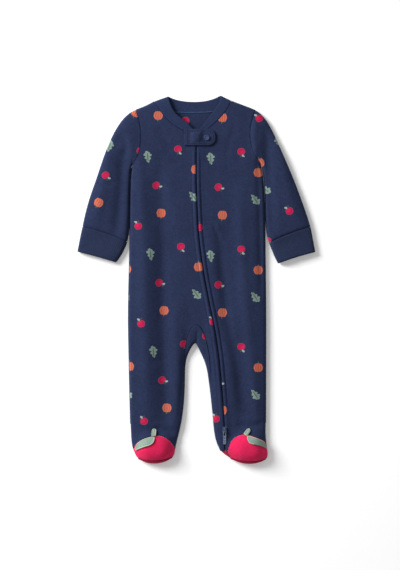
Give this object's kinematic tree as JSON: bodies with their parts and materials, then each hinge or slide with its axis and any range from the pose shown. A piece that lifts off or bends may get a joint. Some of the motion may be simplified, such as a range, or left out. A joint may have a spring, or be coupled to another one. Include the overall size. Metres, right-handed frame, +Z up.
{
  "type": "footed onesie pajama",
  "caption": "Baby's fleece sleeper laid flat on its back: long cuffed sleeves, slanting zip with guard tab, crotch gusset and padded feet with contrast toe caps.",
  "frame": {"origin": "under the middle of the whole laid-out garment, on the surface that it lies on", "axes": "+X from the left sleeve to the right sleeve as seen from above, +Y from the feet to the neck, +Z up through the front"},
  "size_m": [0.3818, 0.5912, 0.0241],
  "materials": {
    "fleece": "napped microfleece",
    "rib": "fine rib knit",
    "crimson": "napped microfleece",
    "sole": "napped microfleece",
    "sage": "felt with satin-stitched edge",
    "tape": "woven tape with nylon coil",
    "snap": "dyed to match",
    "zip_metal": "dyed to match, worn satin"
  },
  "bodies": {
    "garment": {"back_panel": "fleece", "front_panel_wide": "fleece", "front_panel_narrow": "fleece", "gusset": "fleece", "sleeve_left": "fleece", "sleeve_right": "fleece", "cuff_left": "rib", "cuff_right": "rib", "neckband": "rib", "toe_cap_left": "crimson", "toe_cap_right": "crimson", "sole_left": "sole", "sole_right": "sole", "leaf_left": "sage", "leaf_right": "sage", "stem_left": "sage", "stem_right": "sage", "zip_chain": "tape", "zip_slider_top": "zip_metal", "zip_slider_low": "zip_metal", "zip_tab": "fleece", "snap": "snap"},
    "pull": {"zip_pull": "zip_metal"}
  },
  "joints": [
    {"name": "pull_hinge", "type": "hinge", "parent": "garment", "child": "pull", "pos_m": [0.04508, -0.2424, 0.0137], "axis": [-1, 0, 0], "range_deg": [0, 140]}
  ]
}
